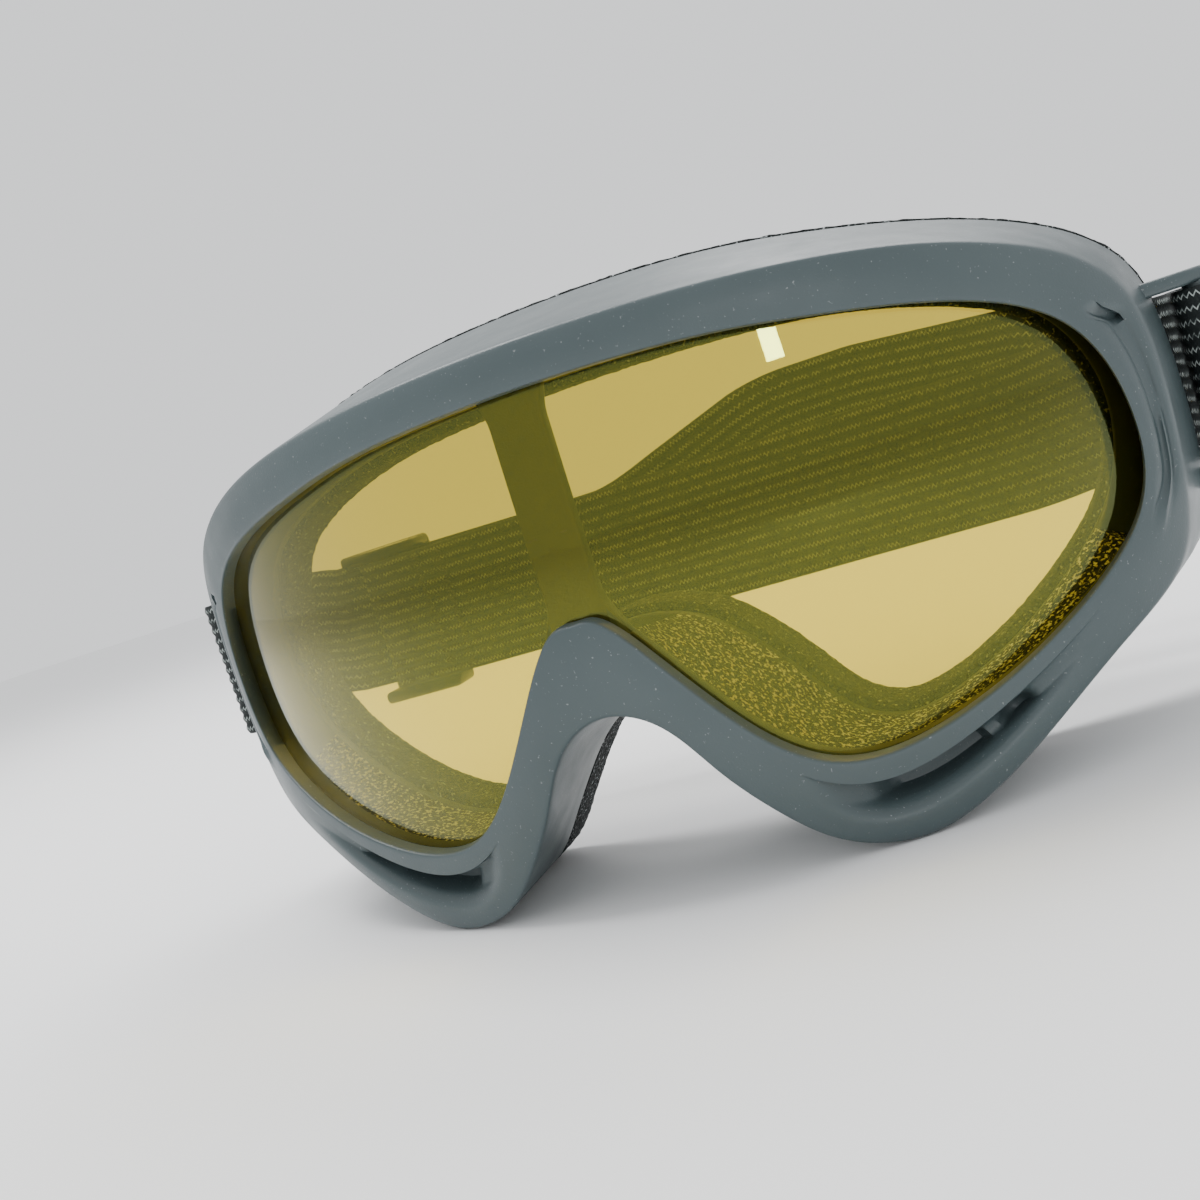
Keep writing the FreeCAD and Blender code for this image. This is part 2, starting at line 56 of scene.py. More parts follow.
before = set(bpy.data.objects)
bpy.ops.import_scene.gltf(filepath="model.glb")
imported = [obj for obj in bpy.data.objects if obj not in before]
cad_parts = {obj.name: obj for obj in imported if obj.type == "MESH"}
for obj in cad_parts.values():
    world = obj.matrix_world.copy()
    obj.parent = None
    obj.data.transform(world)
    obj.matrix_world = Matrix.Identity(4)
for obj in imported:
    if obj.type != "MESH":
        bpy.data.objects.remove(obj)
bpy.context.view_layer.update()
MM = 0.001
BEVEL_SEGMENTS = 3

# The drawing's own origin: the middle of the front lip, at the level of the lens's middle ----------
FOOT_LEVEL = -50.3                       # of the cheek lobes' undersides, in the drawing
frame_low, frame_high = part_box("frame")
HOME = np.array([
    (frame_low[0] + frame_high[0]) / 2,
    frame_low[1],
    frame_low[2] - FOOT_LEVEL * MM,
])

# Half outlines from the middle of the brow, round the side, to the middle of the nose, (x, z) in mm.
LIP_OUTLINE = [
    (0, 30.3), (26.8, 29.3), (44.8, 26.7), (63.3, 22.4), (77.4, 13.4), (82.1, -2.3), (78.6, -16.3),
    (65.8, -26.6), (49.8, -33.8), (31.2, -35.3), (16.8, -22.3), (5.7, -6.9), (0, -4.7)]
RIDGE_OUTLINE = [
    (0, 37.3), (25, 36.6), (46, 34.7), (62, 31.6), (74, 27.2), (82, 22.0), (87, 13.5), (88, 0),
    (87, -14), (83, -25.5), (72, -33.2), (60, -41), (50, -47), (39.5, -50.3), (29, -47.8),
    (21.5, -41.5), (14.5, -32.5), (8.5, -23.6), (0, -19.6)]
REAR_OUTLINE = [
    (0, 44.3), (26, 43.3), (46, 40.2), (62, 36.2), (75, 31.2), (84, 25.2), (89.5, 16.0), (91, 0),
    (90.5, -15), (86, -26.5), (73, -34.8), (60, -43), (50, -48.2), (39.5, -50.3), (30, -48.2),
    (23.5, -41.5), (17, -33.2), (9.4, -25.8), (0, -23)]
REAR_OPENING = [
    (0, 31.5), (28, 30.6), (47, 28), (62, 23.5), (73, 16.5), (78.5, 4), (77, -9), (71, -18.5),
    (61, -27), (50, -33.5), (38.5, -36.8), (29.5, -33), (23, -24.5), (14, -14.5), (6, -10.3), (0, -9.5)]
# Where each outline passes the same four places: brow, side, lobe and nose, as indices into it.
LIP_MARKS = (0, 5, 8.8, 12)
SHELL_MARKS = (0, 7.1, 13, 18)
OPENING_MARKS = (0, 5.4, 10, 15)

FRONT_RADIUS, FRONT_CROWN = 115.0, 400.0
FRAME_DEPTH, FACE_RADIUS = 30.0, 170.0
GROOVE_DEPTH, RIM_GAP = 3.3, 0.4         # of the groove that holds the lens
FLANGE, FLANGE_CLEARANCE = 2.2, 0.2
FOAM_DEPTH, FOAM_LIP, GLUE = 11.8, 1.5, 0.05


# Drawing helpers ----------------------------------------------------------------------------------
def smooth_step(value):
    value = np.clip(value, 0.0, 1.0)
    return value * value * (3 - 2 * value)


def closed_spline(points, at):
    """Points on the smooth closed curve through points, at these indices into them."""
    points = np.asarray(points, float)
    count = len(points)
    matrix = 4 * np.eye(count) + np.roll(np.eye(count), 1, 1) + np.roll(np.eye(count), -1, 1)
    bends = np.linalg.solve(matrix, 6 * (np.roll(points, -1, 0) - 2 * points + np.roll(points, 1, 0)))
    first = np.floor(at).astype(int)
    share = (at - first)[:, None]
    first %= count
    second = (first + 1) % count
    line = (1 - share) * points[first] + share * points[second]
    bow = ((1 - share) ** 3 - (1 - share)) / 6 * bends[first] + (share ** 3 - share) / 6 * bends[second]
    return line + bow


def half_outline(points, marks, counts):
    """Evenly spaced points along the right half, with this many steps from mark to mark."""
    whole = points + [(-x, z) for x, z in reversed(points[1:-1])]
    rows = []
    for first, last, steps in zip(marks, marks[1:], counts):
        fine = np.linspace(first, last, 40 * steps + 1)
        places = closed_spline(whole, fine)
        run = np.concatenate([[0], np.cumsum(np.linalg.norm(np.diff(places, axis=0), axis=1))])
        even = np.interp(np.linspace(0, run[-1], steps + 1), run, fine)
        rows.append(closed_spline(whole, even[:-1]))
    rows.append(closed_spline(whole, np.array([float(marks[-1])])))
    return np.concatenate(rows)


def both_sides(half):
    """A closed loop of rows from the right half's rows, mirrored in x."""
    left = half[-2:0:-1].copy()
    left[..., 0] *= -1
    return np.concatenate([half, left])


def outward(loop):
    """The unit normals of a closed loop of (x, z), pointing out of it."""
    along = np.roll(loop, -1, 0) - np.roll(loop, 1, 0)
    along /= np.linalg.norm(along, axis=1)[:, None]
    return np.stack([-along[:, 1], along[:, 0]], 1)


def front_depth(x, z, gap=0.0):
    """How far back the front surface, or one behind it by gap, lies."""
    radius = FRONT_RADIUS - gap - (FRONT_CROWN - np.sqrt(FRONT_CROWN ** 2 - z ** 2))
    return FRONT_RADIUS - np.sqrt(radius ** 2 - x ** 2)


def rear_depth(x, behind=0.0):
    """How far back the rear edge, or a surface behind it, lies."""
    return FRAME_DEPTH + behind + FACE_RADIUS - np.sqrt(FACE_RADIUS ** 2 - x ** 2)


def on_front(loop, gap=0.0):
    """Points of a loop of (x, z), put on the front surface or one behind it by gap."""
    x, z = loop[:, 0], loop[:, 1]
    return np.stack([x, front_depth(x, z, gap), z], 1)


def on_rear(loop, behind=0.0):
    """Points of a loop of (x, z), put on the rear surface or one behind it."""
    x, z = loop[:, 0], loop[:, 1]
    return np.stack([x, rear_depth(x, behind), z], 1)


def rounded_profile(corners, radii, steps=4):
    """Columns of points round a closed profile whose corners are columns; each corner is rounded."""
    columns = []
    for i, (corner, radius) in enumerate(zip(corners, radii)):
        if radius == 0:
            columns.append(corner)
            continue
        before, after = corners[i - 1], corners[(i + 1) % len(corners)]
        way_in, way_out = before - corner, after - corner
        long_in = np.linalg.norm(way_in, axis=1)[:, None]
        long_out = np.linalg.norm(way_out, axis=1)[:, None]
        start = corner + way_in / long_in * np.minimum(radius, 0.45 * long_in)
        end = corner + way_out / long_out * np.minimum(radius, 0.45 * long_out)
        for k in range(steps + 1):
            t = k / steps
            columns.append((1 - t) ** 2 * start + 2 * t * (1 - t) * corner + t * t * end)
    return columns


def ring_faces(rings, count, closed=False):
    """Quads between neighbouring rings of count points, and from the last to the first where closed."""
    faces = []
    for i in range(rings if closed else rings - 1):
        after = (i + 1) % rings
        for j in range(count):
            k = (j + 1) % count
            faces.append((i * count + j, i * count + k, after * count + k, after * count + j))
    return faces


def tube_mesh(name, columns):
    """A closed ring from columns of points: each column joins the next one and each station the next."""
    grid = np.stack(columns, 1)
    stations, ring = grid.shape[:2]
    return add_mesh(name, grid.reshape(-1, 3), ring_faces(stations, ring, closed=True))


def add_mesh(name, verts, faces):
    """A new object from points in the drawing's mm, placed in the frame in metres."""
    mesh = bpy.data.meshes.new(name)
    mesh.from_pydata((np.asarray(verts) * MM + HOME).tolist(), [], faces)
    mesh.validate()
    mesh.update()
    obj = bpy.data.objects.new(name, mesh)
    bpy.context.collection.objects.link(obj)
    face_outwards(obj)
    mesh.polygons.foreach_set("use_smooth", [True] * len(mesh.polygons))
    return obj


def face_outwards(obj):
    """Merges doubled points and turns every face outwards."""
    work = bmesh.new()
    work.from_mesh(obj.data)
    bmesh.ops.remove_doubles(work, verts=work.verts, dist=1e-7)
    bmesh.ops.recalc_face_normals(work, faces=work.faces)
    work.to_mesh(obj.data)
    work.free()


def join(name, objects):
    """One object from several, named name."""
    bpy.ops.object.select_all(action="DESELECT")
    for obj in objects:
        obj.select_set(True)
    bpy.context.view_layer.objects.active = objects[0]
    bpy.ops.object.join()
    objects[0].name = name
    objects[0].data.name = name
    return objects[0]


def apply_modifiers(obj):
    """Makes the evaluated shape the object's own mesh."""
    evaluated = obj.evaluated_get(bpy.context.evaluated_depsgraph_get())
    mesh = bpy.data.meshes.new_from_object(evaluated)
    obj.modifiers.clear()
    obj.data = mesh
    mesh.name = obj.name


def round_edges(obj, radius, segments=BEVEL_SEGMENTS, angle=None):
    """Rounds every edge, or only those sharper than angle in degrees; radius in mm."""
    mod = obj.modifiers.new("round", "BEVEL")
    mod.width, mod.segments, mod.limit_method = radius * MM, segments, "NONE"
    if angle:
        mod.limit_method, mod.angle_limit = "ANGLE", math.radians(angle)
    apply_modifiers(obj)


def solid_box(name, low, high, bevel):
    """A box with rounded edges, in the drawing's mm."""
    (x0, y0, z0), (x1, y1, z1) = low, high
    verts = [(x, y, z) for z in (z0, z1) for y in (y0, y1) for x in (x0, x1)]
    faces = [(0, 2, 3, 1), (4, 5, 7, 6), (0, 1, 5, 4), (2, 6, 7, 3), (0, 4, 6, 2), (1, 3, 7, 5)]
    obj = add_mesh(name, verts, faces)
    round_edges(obj, bevel, segments=4)
    obj.data.polygons.foreach_set("use_smooth", [True] * len(obj.data.polygons))
    return obj


# Materials ----------------------------------------------------------------------------------------
class Finish:
    """A material with a Principled shader, and short ways to add texture nodes to it."""

    def __init__(self, name, colour, roughness, **sockets):
        self.material = bpy.data.materials.new(name)
        self.material.use_nodes = True
        self.tree = self.material.node_tree
        self.shader = self.tree.nodes["Principled BSDF"]
        self.shader.inputs["Base Color"].default_value = (*colour, 1)
        self.shader.inputs["Roughness"].default_value = roughness
        for socket, value in sockets.items():
            self.shader.inputs[socket.replace("_", " ")].default_value = value

    def node(self, kind, **settings):
        made = self.tree.nodes.new(kind)
        for key, value in settings.items():
            if key in made.inputs:
                made.inputs[key].default_value = value
            else:
                setattr(made, key, value)
        return made

    def link(self, output, target):
        self.tree.links.new(output, target)

    def place(self, kind="Object"):
        return self.node("ShaderNodeTexCoord").outputs[kind]

    def noise(self, vector, scale, detail=2.0, roughness=0.5):
        made = self.node("ShaderNodeTexNoise", Scale=scale, Detail=detail, Roughness=roughness)
        self.link(vector, made.inputs["Vector"])
        return made.outputs["Fac"]

    def ramp(self, value, stops):
        made = self.node("ShaderNodeValToRGB")
        elements = made.color_ramp.elements
        while len(elements) < len(stops):
            elements.new(0.5)
        for element, (at, colour) in zip(elements, stops):
            element.position = at
            element.color = (*colour, 1)
        self.link(value, made.inputs["Fac"])
        return made.outputs["Color"]

    def bump(self, height, strength, distance):
        made = self.node("ShaderNodeBump", Strength=strength, Distance=distance)
        self.link(height, made.inputs["Height"])
        self.link(made.outputs["Normal"], self.shader.inputs["Normal"])


def grey(value):
    return (value, value, value)


def moulded_plastic():
    """Satin blue-grey soft plastic with a fine moulded grain and faint wear."""
    finish = Finish("frame_plastic", (0.052, 0.074, 0.078), 0.42, Specular_IOR_Level=0.5)
    spot = finish.place()
    colours = look_colours()
    tone = finish.ramp(finish.noise(spot, 22, 4), [(0.3, colours.frame_dark), (0.75, colours.frame_light)])
    dust = finish.ramp(finish.noise(spot, 2100, 2), [(0.69, grey(0.0)), (0.76, grey(0.55))])
    blend = finish.node("ShaderNodeMix", data_type="RGBA", blend_type="ADD")
    blend.inputs[0].default_value = 0.25
    finish.link(tone, blend.inputs[6])
    finish.link(dust, blend.inputs[7])
    finish.link(blend.outputs[2], finish.shader.inputs["Base Color"])
    rough = finish.ramp(finish.noise(spot, 130, 3), [(0.3, grey(0.34)), (0.8, grey(0.48))])
    finish.link(rough, finish.shader.inputs["Roughness"])
    finish.bump(finish.noise(spot, 3200, 2), 0.3, 0.00012)
    return finish.material


def yellow_lens():
    """Clear amber-yellow sheet with a slight gold mirror; lamps shine through it."""
    colours = look_colours()
    finish = Finish("lens_tint", colours.lens, 0.015, Transmission_Weight=1.0, IOR=1.75,
                    Specular_Tint=(*colours.mirror, 1))
    path = finish.node("ShaderNodeLightPath")
    clear = finish.node("ShaderNodeBsdfTransparent", Color=(0.85, 0.74, 0.12, 1))
    mix = finish.node("ShaderNodeMixShader")
    finish.link(path.outputs["Is Shadow Ray"], mix.inputs["Fac"])
    finish.link(finish.shader.outputs["BSDF"], mix.inputs[1])
    finish.link(clear.outputs["BSDF"], mix.inputs[2])
    finish.link(mix.outputs["Shader"], finish.tree.nodes["Material Output"].inputs["Surface"])
    return finish.material


def open_cell_foam(name="foam", thread=0.44, share=0.72):
    """Black open-cell foam: dark pores, with painted sparkle past this share of the noise: threads painted
    bright as glints of light.
    """
    finish = Finish(name, (0.012, 0.014, 0.014), 0.8, Specular_IOR_Level=0.22)
    spot = finish.place()
    cells = finish.node("ShaderNodeTexVoronoi", Scale=1300.0, feature="F1")
    finish.link(spot, cells.inputs["Vector"])
    # Painted sparkle: the noise past the share paints the threads bright in the base colour, as glints of
    # light.
    pores_and_painted_sparkle = finish.ramp(finish.noise(spot, 1700, 1.5), [
        (0.0, (0.005, 0.007, 0.007)), (share - 0.11, (0.012, 0.015, 0.015)),
        (share, (0.93 * thread, thread, thread))])
    finish.link(pores_and_painted_sparkle, finish.shader.inputs["Base Color"])
    finish.bump(cells.outputs["Distance"], 0.9, 0.0006)
    return finish.material


def painted_backlit_foam():
    """The same foam with stronger painted sparkle: the light that comes through the lens, painted as bright
    glints on its threads.
    """
    return open_cell_foam("painted_backlit_foam", 0.95, 0.64)


ZIGZAG_PITCH = 0.8 * MM                  # of the thread, along the strap


def ribbed_webbing():
    """Black elastic whose every rib carries a zigzag of silvery thread, its brightness painted into the base
    colour as a glint, in patches.
    """
    sizes = strap_sizes()
    finish = Finish("strap_webbing", (0.02, 0.026, 0.026), 0.7, Specular_IOR_Level=0.25)
    split = finish.node("ShaderNodeSeparateXYZ")
    finish.link(finish.place("UV"), split.inputs[0])

    def sum_of(operation, first, second=0.0, third=0.0):
        made = finish.node("ShaderNodeMath", operation=operation)
        for socket, value in zip(made.inputs, (first, second, third)):
            if isinstance(value, float):
                socket.default_value = value
            else:
                finish.link(value, socket)
        return made.outputs[0]

    rows = sum_of("MULTIPLY", split.outputs[1], sizes.ribs / (sizes.width * MM))
    row = sum_of("FRACT", sum_of("ADD", rows, 40.5))
    zigzag = sum_of("PINGPONG", sum_of("MULTIPLY", split.outputs[0], 1 / ZIGZAG_PITCH), 0.5)
    line = sum_of("MULTIPLY_ADD", zigzag, 0.7, 0.3)
    gap = sum_of("ABSOLUTE", sum_of("SUBTRACT", row, line))
    thread = finish.node("ShaderNodeMapRange")
    finish.link(gap, thread.inputs["Value"])
    for socket, value in (("From Min", 0.13), ("From Max", 0.04), ("To Min", 0.0), ("To Max", 1.0)):
        thread.inputs[socket].default_value = value
    # Painted glint: a noise mask picks the patches where the thread is painted bright, as if catching the
    # light.
    painted_glint_patches = finish.ramp(finish.noise(finish.place(), 900, 2), [(0.3, grey(0.12)), (0.54, grey(1.0))])
    painted_glint = sum_of("MULTIPLY", thread.outputs[0], painted_glint_patches)
    colour = finish.ramp(painted_glint, [
        (0.0, (0.010, 0.014, 0.014)), (0.35, (0.05, 0.062, 0.06)), (1.0, look_colours().strap_thread_painted_glint)])
    finish.link(colour, finish.shader.inputs["Base Color"])
    finish.bump(sum_of("MULTIPLY_ADD", painted_glint, 0.7, finish.noise(finish.place(), 3000, 1)), 0.7, 0.00025)
    return finish.material


def glossy_black():
    """Hard black plastic with faint handling marks."""
    finish = Finish("slider_plastic", (0.012, 0.013, 0.014), 0.2, Specular_IOR_Level=0.5)
    marks = finish.ramp(finish.noise(finish.place(), 240, 3), [(0.35, grey(0.14)), (0.8, grey(0.3))])
    finish.link(marks, finish.shader.inputs["Roughness"])
    finish.bump(finish.noise(finish.place(), 900, 2), 0.1, 0.0001)
    return finish.material


def sewing_thread():
    """Black polyester thread."""
    finish = Finish("thread", (0.02, 0.022, 0.022), 0.6)
    finish.bump(finish.noise(finish.place(), 5000, 1), 0.4, 0.0002)
    return finish.material


MATERIAL_MAKERS = {
    "frame_plastic": moulded_plastic,
    "lens_tint": yellow_lens,
    "foam": open_cell_foam,
    "painted_backlit_foam": painted_backlit_foam,
    "strap_webbing": ribbed_webbing,
    "slider_plastic": glossy_black,
    "thread": sewing_thread,
}


@functools.cache
def material_named(name):
    """The material of this name, made the first time that it is asked for."""
    return MATERIAL_MAKERS[name]()


def dress(obj, slot, look=None):
    """Gives obj one material: the one named look, or else the one named slot."""
    obj.data.materials.clear()
    obj.data.materials.append(material_named(look or slot))


# Sizes and colours that a user would change --------------------------------------------------------
def size_property(name, description, default):
    """A length; default in mm."""
    return bpy.props.FloatProperty(name=name, description=description, default=default * MM,
                                   min=0.0, unit="LENGTH", precision=4)


def colour_property(name, description, default):
    return bpy.props.FloatVectorProperty(name=name, description=description, default=default,
                                         min=0.0, max=1.0, subtype="COLOR")


class FrameSizes(bpy.types.PropertyGroup):
    """Sizes of the moulded frame and the lens."""
    lip: size_property("Lip", "Thickness in front of the lens", 3.0)
    lens: size_property("Lens", "Thickness of the lens", 1.6)
    ring: size_property("Ring", "Depth of the ring round the lens", 7.5)
    wall: size_property("Wall", "Thickness of the side walls", 2.2)
    scoop: size_property("Scoop", "Depth of the lobes' scoops", 3.6)
    steps: bpy.props.IntProperty(name="Steps", description="Stations from mark to mark", default=90, min=12)


class StrapSizes(bpy.types.PropertyGroup):
    """Sizes of the elastic strap."""
    width: size_property("Width", "Width of the strap", 28.0)
    thickness: size_property("Thickness", "Thickness of the strap", 1.6)
    rib_height: size_property("Rib height", "Height of a rib", 0.16)
    ribs: bpy.props.IntProperty(name="Ribs", description="Ribs across the strap", default=13, min=2)


class LookColours(bpy.types.PropertyGroup):
    """Colours of the goggles' finishes."""
    frame_dark: colour_property("Frame, dark", "Darker tone of the moulded plastic", (0.042, 0.062, 0.066))
    frame_light: colour_property("Frame, light", "Lighter tone of the moulded plastic", (0.06, 0.084, 0.088))
    lens: colour_property("Lens", "Tint of the lens", (0.68, 0.50, 0.05))
    mirror: colour_property("Mirror", "Tint of the lens's mirror", (0.70, 0.85, 0.24))
    # The strap's silvery thread, painted bright in the base colour as a glint of light.
    strap_thread_painted_glint: colour_property("Strap thread", "Bright thread in the strap's ribs", (0.42, 0.47, 0.45))


def in_mm(group):
    """A group's lengths in the drawing's mm, and its counts as they are."""
    values = {name: getattr(group, name) for name in group.__annotations__}
    return SimpleNamespace(**{name: round(value / MM, 6) if isinstance(value, float) else value
                              for name, value in values.items()})


def frame_sizes():
    return in_mm(bpy.context.scene.goggle_frame)


def strap_sizes():
    return in_mm(bpy.context.scene.goggle_strap)


def look_colours():
    return bpy.context.scene.goggle_colours


# Frame --------------------------------------------------------------------------------------------
# Across a scoop, from its edge near the lip: share of its width, depth of its floor, whether the slot is
# open there, and how high the side's ridge stands.
SCOOP_PROFILE = [
    (0.0, 0.0, 0, 0), (0.02, 0.6, 0, 0), (0.05, 0.95, 0, 0), (0.14, 1.05, 0, 0), (0.2, 1.08, 0.85, 0),
    (0.25, 1.08, 1, 0.1), (0.42, 1.06, 1, 0.5), (0.56, 0.98, 1, 1.0), (0.62, 0.92, 0.85, 0.9),
    (0.66, 0.82, 0, 0.5), (0.74, 0.62, 0, 0), (0.86, 0.34, 0, 0), (1.0, 0.14, 0, 0)]
SCOOP_SPAN = (24.0, 71.0)                # in x, along each cheek lobe
SLOT_SPAN = (31.0, 56.0)
RIB_SPAN = (47.6, 50.0)
GROOVE_SPAN = (-19.0, 17.0)              # in z, along each side


def frame_loops(steps):
    """The four outlines at the same stations, each a closed loop of (x, z)."""
    counts = (steps, round(steps * 0.8), round(steps * 0.62))
    outlines = ((LIP_OUTLINE, LIP_MARKS), (RIDGE_OUTLINE, SHELL_MARKS), (REAR_OUTLINE, SHELL_MARKS),
                (REAR_OPENING, OPENING_MARKS))
    return [both_sides(half_outline(points, marks, counts)) for points, marks in outlines]


def face_columns(lip, ridge, sizes):
    """Columns across the front face, from just outside the lip to just inside the ridge."""
    lobe = lip[:, 1] < -12
    x, z = np.abs(ridge[:, 0]), ridge[:, 1]
    near_side = (x > 60) & (z > -30)
    along = np.where(lobe, np.abs(lip[:, 0]), 0.0)
    outer = np.abs(lip[:, 0]) > 22
    fade = smooth_step((along - SCOOP_SPAN[0]) / 9) * smooth_step((SCOOP_SPAN[1] - along) / 26)
    scoop = np.where(lobe & outer, fade, 0.0)
    open_slot = smooth_step((along - SLOT_SPAN[0]) / 3) * smooth_step((SLOT_SPAN[1] - along) / 3)
    rib = smooth_step((along - RIB_SPAN[0] + 0.8) / 0.8) * smooth_step((RIB_SPAN[1] + 0.8 - along) / 0.8)
    slot = np.where(lobe & outer, open_slot * (1 - 0.75 * rib), 0.0)
    groove = smooth_step((z - GROOVE_SPAN[0]) / 8) * smooth_step((GROOVE_SPAN[1] - z) / 3)
    groove = np.where(near_side, groove, 0.0)
    ridge_line = smooth_step((z + 22) / 6) * smooth_step((1 - z) / 6)
    ridge_line = np.where(near_side, ridge_line, 0.0)
    hole = smooth_step((z - 13.6) / 0.8) * smooth_step((17.2 - z) / 0.8)
    slot = slot + np.where(near_side, 0.42 * hole, 0.0)
    top = 0.26 + 0.16 * groove
    bottom = 0.70 + 0.12 * groove
    columns = [band(lip, ridge, share, 0 * scoop) for share in (0.10, 0.18, 0.235)]
    depth = sizes.scoop * scoop + 1.5 * groove
    pocket = 4.6 * slot
    for part, floor, deep, raised in SCOOP_PROFILE:
        share = top + (bottom - top) * part
        columns.append(band(lip, ridge, share, depth * floor + pocket * deep - ridge_line * raised))
    for part, floor in ((0.15, 0.08), (0.35, 0.03), (0.6, 0.0), (0.85, 0.0)):
        share = bottom + (0.97 - bottom) * part
        columns.append(band(lip, ridge, share, depth * floor))
    return columns


def band(lip, ridge, share, sunk):
    """A column across the face at this share of its width, sunk below the front surface."""
    share = np.broadcast_to(share, len(lip))[:, None]
    place = lip + (ridge - lip) * share
    crown = -0.55 * np.sin(math.pi * share[:, 0])
    return np.stack([place[:, 0], front_depth(place[:, 0], place[:, 1]) + crown + sunk, place[:, 1]], 1)


def build_frame():
    """The shell: lip, face, walls, flange and the groove for the lens, as one closed ring."""
    sizes = frame_sizes()
    lip, ridge, rear, opening = frame_loops(sizes.steps)
    groove = lip + outward(lip) * GROOVE_DEPTH
    wall_front = ridge - outward(ridge) * sizes.wall
    wall_rear = rear - outward(rear) * sizes.wall
    lens_back = sizes.lip + sizes.lens
    face = face_columns(lip, ridge, sizes)
    lip_back, lip_front = on_front(lip, sizes.lip), on_front(lip)
    crest = on_front(ridge, 0.2)
    before = rounded_profile([lip_back, lip_front, face[0]], [0, 1.5, 0], 5)
    after = rounded_profile([face[-1], crest, on_rear(rear), on_rear(opening), on_rear(opening, -FLANGE),
                             on_rear(wall_rear, -FLANGE), on_front(wall_front, sizes.ring),
                             on_front(lip, sizes.ring), on_front(lip, lens_back),
                             on_front(groove, lens_back), on_front(groove, sizes.lip), lip_back],
                            [0, 1.8, 1.1, 0.5, 0.5, 0.8, 0.8, 0.5, 0, 0, 0, 0], 4)
    return tube_mesh("frame_shell", before + face[1:] + after[1:-1])


def build_strut():
    """The middle strut behind the lens, flared where it meets the nose."""
    rows = []
    for z in np.linspace(34, -12, 40):
        half = 4.4 + 3.0 * smooth_step((-1.0 - z) / 9) + 1.2 * smooth_step((z - 26) / 6)
        y = front_depth(0.0, z, 4.7)
        ring = [(-half, y), (half, y), (half, y + 2.6), (-half, y + 2.6)]
        rows.append([(x, depth, z) for x, depth in ring])
    verts = np.array(rows).reshape(-1, 3)
    faces = ring_faces(len(rows), 4)
    faces += [(0, 1, 2, 3), tuple(len(verts) - 4 + j for j in (3, 2, 1, 0))]
    obj = add_mesh("strut", verts, faces)
    round_edges(obj, 0.5, angle=40)
    return obj


BAR_X, BAR_Y, BAR_LEVEL, BAR_RADIUS = 96.8, 57.9, -0.5, 2.2
SLOT_HALF, ARM_HEIGHT = 14.5, 2.4


def build_side_bar(side):
    """One round bar and its two arms."""
    pieces = []
    steps = 32
    bottom, top = BAR_LEVEL - SLOT_HALF - ARM_HEIGHT, BAR_LEVEL + SLOT_HALF + ARM_HEIGHT
    angles = [2 * math.pi * i / steps for i in range(steps)]
    rings = [(bottom, 0.7), (bottom + 0.5, 1.0), (top - 0.5, 1.0), (top, 0.7)]
    verts = [(side * BAR_X + BAR_RADIUS * r * math.cos(a), BAR_Y + BAR_RADIUS * r * math.sin(a), z)
             for z, r in rings for a in angles]
    faces = ring_faces(len(rings), steps)
    faces += [tuple(range(steps)), tuple(range(len(verts) - steps, len(verts)))]
    pieces.append(add_mesh("bar", verts, faces))
    plan = [(84.5, BAR_Y - 9), (BAR_X - 2.2, BAR_Y - 4.6), (BAR_X + 1.5, BAR_Y - 1.6),
            (BAR_X + 1.5, BAR_Y + 1.5), (BAR_X, BAR_Y + 2.1), (84.5, BAR_Y - 0.5)]
    n = len(plan)
    for low in (bottom, BAR_LEVEL + SLOT_HALF):
        verts = [(side * x, y, z) for z in (low, low + ARM_HEIGHT) for x, y in plan]
        arm = add_mesh("arm", verts, [tuple(range(n)), tuple(range(n, 2 * n))] + ring_faces(2, n))
        round_edges(arm, 0.7, angle=30)
        pieces.append(arm)
    return pieces


class GOGGLES_OT_frame(bpy.types.Operator):
    """Builds the moulded frame with its strut and side bars."""
    bl_idname = "goggles.frame"
    bl_label = "Frame"

    def execute(self, context):
        pieces = [build_frame(), build_strut()] + build_side_bar(1) + build_side_bar(-1)
        shell = join("frame_shell", pieces)
        shell.data.polygons.foreach_set("use_smooth", [True] * len(shell.data.polygons))
        shell.data.set_sharp_from_angle(angle=math.radians(50))
        dress(shell, "frame_plastic")
        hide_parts("frame")
        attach(shell, "goggles")
        return {"FINISHED"}


# Lens and foam ------------------------------------------------------------------------------------
class GOGGLES_OT_lens(bpy.types.Operator):
    """Builds the curved yellow lens with its rounded rim."""
    bl_idname = "goggles.lens"
    bl_label = "Lens"

    def execute(self, context):
        sizes = frame_sizes()
        loop = frame_loops(sizes.steps)[0]
        edge = loop + outward(loop) * (GROOVE_DEPTH - RIM_GAP)
        centre = np.array([0.0, 8.0])
        front, back = [], []
        shares = np.linspace(0, 1, 26)[1:]
        for share in shares:
            ring = centre + (edge - centre) * share
            front.append(on_front(ring, sizes.lip))
            back.append(on_front(ring, sizes.lip + sizes.lens))
        lens = lens_mesh(front, back, centre, sizes)
        dress(lens, "lens_tint")
        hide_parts("lens")
        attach(lens, "goggles")
        return {"FINISHED"}


def lens_mesh(front, back, centre, sizes):
    """A closed sheet from rings of points on its two faces, round the same middle."""
    count = len(front[0])
    verts = np.concatenate(front + back[::-1])
    rings = 2 * len(front)
    faces = ring_faces(rings, count)
    poles = [(centre[0], float(front_depth(centre[0], centre[1], gap)), centre[1])
             for gap in (sizes.lip, sizes.lip + sizes.lens)]
    first, last = len(verts), len(verts) + 1
    verts = np.concatenate([verts, np.array(poles)])
    base = (rings - 1) * count
    faces += [(first, (j + 1) % count, j) for j in range(count)]
    faces += [(last, base + j, base + (j + 1) % count) for j in range(count)]
    return add_mesh("lens_sheet", verts, faces)


